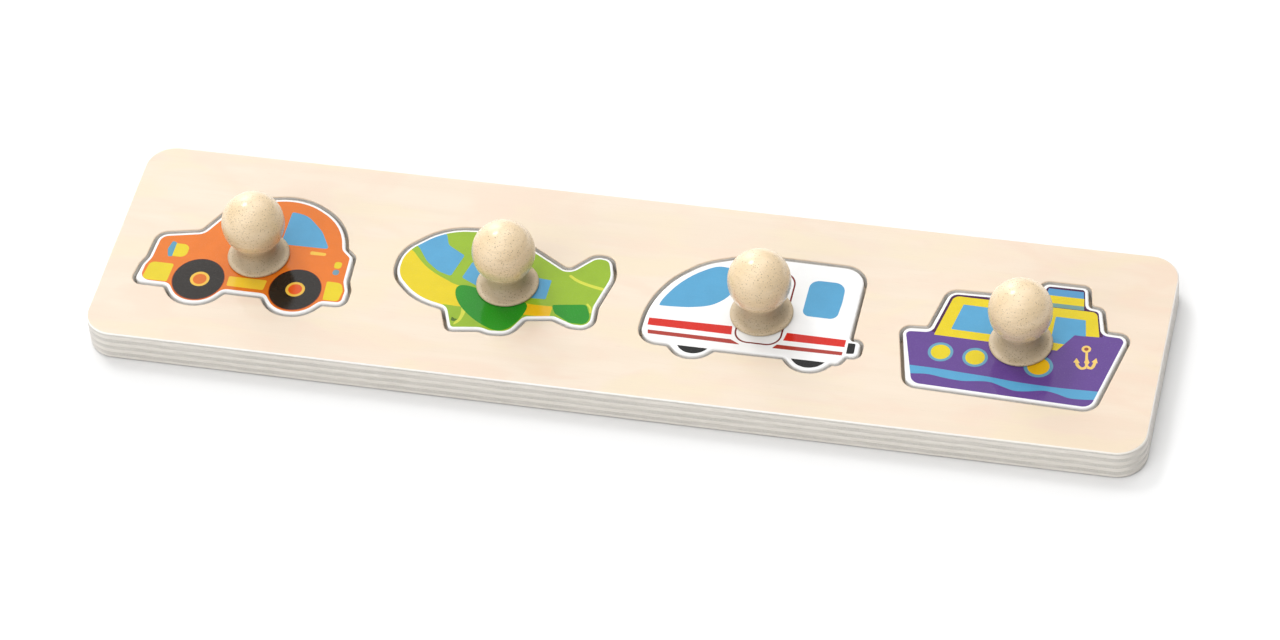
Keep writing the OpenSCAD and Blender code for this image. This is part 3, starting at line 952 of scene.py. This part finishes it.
# ---------------------------------------------------------------- floor, light, camera
def floor():
    me = bpy.data.meshes.new("studio_floor")
    bm = bmesh.new()
    bmesh.ops.create_grid(bm, x_segments=8, y_segments=8, size=6.0)
    bmesh.ops.translate(bm, verts=bm.verts, vec=(0, 0, -0.00005))
    bm.to_mesh(me)
    bm.free()
    ob = bpy.data.objects.new("studio_floor", me)
    bpy.context.scene.collection.objects.link(ob)
    p = Paint("studio_paper", 1.0)
    p.bsdf.inputs["Specular IOR Level"].default_value = 0.0
    cloud = p.noise((0.8, 0.8, 0.8), 2.0)
    p.finish(p.mix(p.span(cloud, 0.3, 0.7), (0.87, 0.87, 0.87), (0.865, 0.865, 0.865)))
    me.materials.append(MATERIAL["studio_paper"])


# The studio's soft boxes, far off: elevation, azimuth from +X towards +Y, how
# tightly each is gathered round its middle, and its brightness there
SOFT_BOXES = (
    (90, 0, 25, 1.27), (72, 90, 25, 1.17), (72, 180, 25, 0.57), (72, 270, 25, 0.55), (50, 72, 25, 1.78),
    (90, 0, 8, 0.16), (58, 0, 8, 0.19), (58, 60, 8, 0.23), (58, 240, 8, 0.97), (58, 300, 8, 0.22),
    (28, 45, 8, 0.40), (31, 122, 40, 4.2), (28, 225, 8, 1.10), (28, 270, 8, 0.45),
    (4, 120, 8, 1.87), (4, 240, 8, 0.76),
)  # fmt: skip


def lights():
    sun = bpy.data.lights.new("key", "SUN")
    sun.energy = 0.6
    sun.angle = math.radians(15)
    ob = bpy.data.objects.new("key", sun)
    to_light = Vector((-0.434, 0.373, 0.82))
    ob.rotation_mode = "QUATERNION"
    ob.rotation_quaternion = to_light.to_track_quat("Z", "Y")
    bpy.context.scene.collection.objects.link(ob)
    world = bpy.data.worlds.new("studio")
    bpy.context.scene.world = world
    world.use_nodes = True
    tree = world.node_tree
    tree.nodes.clear()
    out = tree.nodes.new("ShaderNodeOutputWorld")
    coords = tree.nodes.new("ShaderNodeTexCoord")

    def math_node(op, *values):
        n = tree.nodes.new("ShaderNodeMath")
        n.operation = op
        for socket, v in zip(n.inputs, values):
            if isinstance(v, bpy.types.NodeSocket):
                tree.links.new(v, socket)
            else:
                socket.default_value = v
        return n.outputs[0]

    total = 0.0
    for el, az, tight, bright in SOFT_BOXES:
        e, a = math.radians(el), math.radians(az)
        dot = tree.nodes.new("ShaderNodeVectorMath")
        dot.operation = "DOT_PRODUCT"
        tree.links.new(coords.outputs["Generated"], dot.inputs[0])
        dot.inputs[1].default_value = (math.cos(e) * math.cos(a), math.cos(e) * math.sin(a), math.sin(e))
        fall = math_node("EXPONENT", math_node("MULTIPLY_ADD", dot.outputs["Value"], tight, -tight))
        total = math_node("MULTIPLY_ADD", fall, bright, total)
    soft = tree.nodes.new("ShaderNodeBackground")
    soft.inputs["Color"].default_value = (1, 1, 1, 1)
    tree.links.new(total, soft.inputs["Strength"])
    # what is seen past the floor's edge is a plain pale wall
    wall = tree.nodes.new("ShaderNodeBackground")
    wall.inputs["Color"].default_value = (1, 1, 1, 1)
    wall.inputs["Strength"].default_value = 0.9
    ray = tree.nodes.new("ShaderNodeLightPath")
    mix = tree.nodes.new("ShaderNodeMixShader")
    tree.links.new(ray.outputs["Is Camera Ray"], mix.inputs[0])
    tree.links.new(soft.outputs[0], mix.inputs[1])
    tree.links.new(wall.outputs[0], mix.inputs[2])
    tree.links.new(mix.outputs[0], out.inputs["Surface"])


def camera():
    cam = bpy.data.cameras.new("camera")
    ob = bpy.data.objects.new("camera", cam)
    bpy.context.scene.collection.objects.link(ob)
    m = Matrix(
        (
            (0.97425418, -0.11316068, 0.19499603, 0.3515598),
            (0.21511432, 0.72548728, -0.6537538, -1.1673954),
            (-0.06748792, 0.67886881, 0.7311515, 1.3053370),
            (0, 0, 0, 1),
        )
    )
    ob.matrix_world = m @ Matrix.Rotation(0.0001021, 4, "Y") @ Matrix.Rotation(0.0001021, 4, "X")
    cam.sensor_fit = "HORIZONTAL"
    cam.sensor_width = 36.0
    cam.lens = 137.737
    cam.clip_start, cam.clip_end = 0.05, 50.0
    bpy.context.scene.camera = ob


floor()
lights()
camera()
view = bpy.context.scene.view_settings
view.view_transform = "Standard"
view.look = "None"
view.exposure = 0.0
view.gamma = 1.0

bpy.context.view_layer.update()
